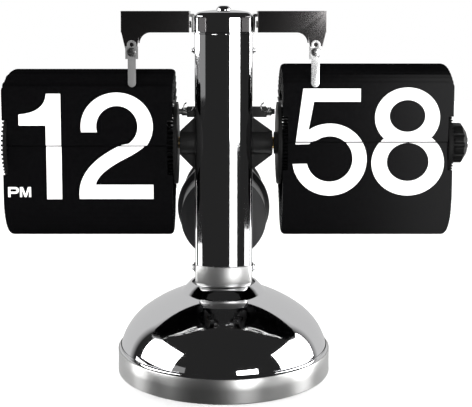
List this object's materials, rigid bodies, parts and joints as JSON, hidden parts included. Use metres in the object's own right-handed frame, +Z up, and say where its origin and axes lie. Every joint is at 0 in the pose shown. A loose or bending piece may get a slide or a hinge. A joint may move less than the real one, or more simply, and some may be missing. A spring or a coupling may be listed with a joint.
{
  "type": "flip number clock",
  "caption": "Desk clock with flip leaves for hours and minutes on two side drums, held by a chrome column on a heavy domed base, with stop fingers, gear train, setting knob and battery tube.",
  "frame": {"origin": "centre of the base's underside, on the surface that the clock stands on", "axes": "+Z up along the column, the clock's face looks along -Y, the minutes drum and the setting knob are at +X"},
  "size_m": [0.2039, 0.1228, 0.1649],
  "materials": {
    "chrome": "mirror polish",
    "satin_steel": "satin",
    "steel": "bright plated",
    "gunmetal": "smooth dark grey",
    "iron": "rough cast",
    "foam": "dense foam",
    "black_plastic": "fine satin",
    "leaf_plastic": "semi-gloss",
    "knob_plastic": "semi-gloss",
    "gear_plastic": "moulded natural",
    "brass": "turned",
    "circuit_board": "lacquered",
    "copper": "wound wire",
    "cell_wrap": "printed wrap, plain"
  },
  "bodies": {
    "frame": {"base_dome": "chrome", "base_ballast": "iron", "foot_pad": "foam", "base_bolt": "steel", "column_foot": "satin_steel", "column_cover": "chrome", "column_head": "chrome", "head_button": "chrome", "head_ring": "steel", "column_core": "black_plastic", "rear_bracket": "black_plastic", "cover_screws": "steel", "arm_left": "gunmetal", "arm_right": "gunmetal", "head_ear_left": "chrome", "head_ear_right": "chrome", "ear_screws": "steel", "stop_finger_left": "satin_steel", "stop_finger_right": "chrome", "finger_screws": "steel", "side_bar_left": "black_plastic", "side_bar_right": "black_plastic", "bar_nuts": "chrome", "bar_clips": "steel", "bearing_boss_left": "black_plastic", "bearing_boss_right": "black_plastic", "bearing_bush_left": "brass", "bearing_bush_right": "brass", "side_plate_left": "satin_steel", "side_plate_right": "satin_steel", "motor_case": "satin_steel", "circuit_board": "circuit_board", "drive_coil": "copper", "minute_leaf_pile": "leaf_plastic", "hour_leaf_pile": "leaf_plastic", "battery_holder": "black_plastic", "battery_contact": "brass", "battery_cell": "cell_wrap"},
    "minute_drum": {"minute_flange_inner": "black_plastic", "minute_flange_outer": "black_plastic", "minute_core": "black_plastic", "minute_shaft": "steel", "minute_pinion": "brass", "drive_wheel": "gear_plastic", "knob_washer": "black_plastic", "set_knob": "knob_plastic", "knob_screw": "steel"},
    "hour_drum": {"hour_flange_inner": "black_plastic", "hour_flange_outer": "black_plastic", "hour_core": "black_plastic", "hour_shaft": "steel", "hour_wheel": "gear_plastic"},
    "idler": {"idler_wheel": "gear_plastic", "idler_pinion": "steel", "idler_arbor": "steel"},
    "motor_rotor": {"motor_pinion": "brass", "motor_shaft": "steel"},
    "minute_leaf": {"minute_front_leaf": "leaf_plastic"},
    "hour_leaf": {"hour_front_leaf": "leaf_plastic"},
    "battery_door": {"battery_cap": "black_plastic"}
  },
  "joints": [
    {"name": "minute_spin", "type": "hinge", "parent": "frame", "child": "minute_drum", "pos_m": [0.0255, -0.0063, 0.1044], "axis": [1, 0, 0], "continuous": true},
    {"name": "hour_spin", "type": "hinge", "parent": "frame", "child": "hour_drum", "pos_m": [-0.0215, -0.0063, 0.1044], "axis": [1, 0, 0], "continuous": true},
    {"name": "idler_spin", "type": "hinge", "parent": "frame", "child": "idler", "pos_m": [0, -0.0063, 0.0967], "axis": [1, 0, 0], "continuous": true},
    {"name": "motor_spin", "type": "hinge", "parent": "frame", "child": "motor_rotor", "pos_m": [0, -0.0063, 0.111], "axis": [1, 0, 0], "continuous": true},
    {"name": "minute_flip", "type": "hinge", "parent": "frame", "child": "minute_leaf", "pos_m": [0.0623, -0.0227, 0.1068], "axis": [1, 0, 0], "range_deg": [0, 176]},
    {"name": "hour_flip", "type": "hinge", "parent": "frame", "child": "hour_leaf", "pos_m": [-0.0589, -0.0227, 0.1051], "axis": [1, 0, 0], "range_deg": [0, 176]},
    {"name": "battery_door_slide", "type": "slide", "parent": "frame", "child": "battery_door", "axis": [0, 1, 0], "range_m": [0, 0.03]}
  ],
  "couplings": [
    {"joint": "hour_spin", "follows": "minute_spin", "ratio": 0.041667},
    {"joint": "idler_spin", "follows": "minute_spin", "ratio": -0.25},
    {"joint": "motor_spin", "follows": "minute_spin", "ratio": -4}
  ]
}
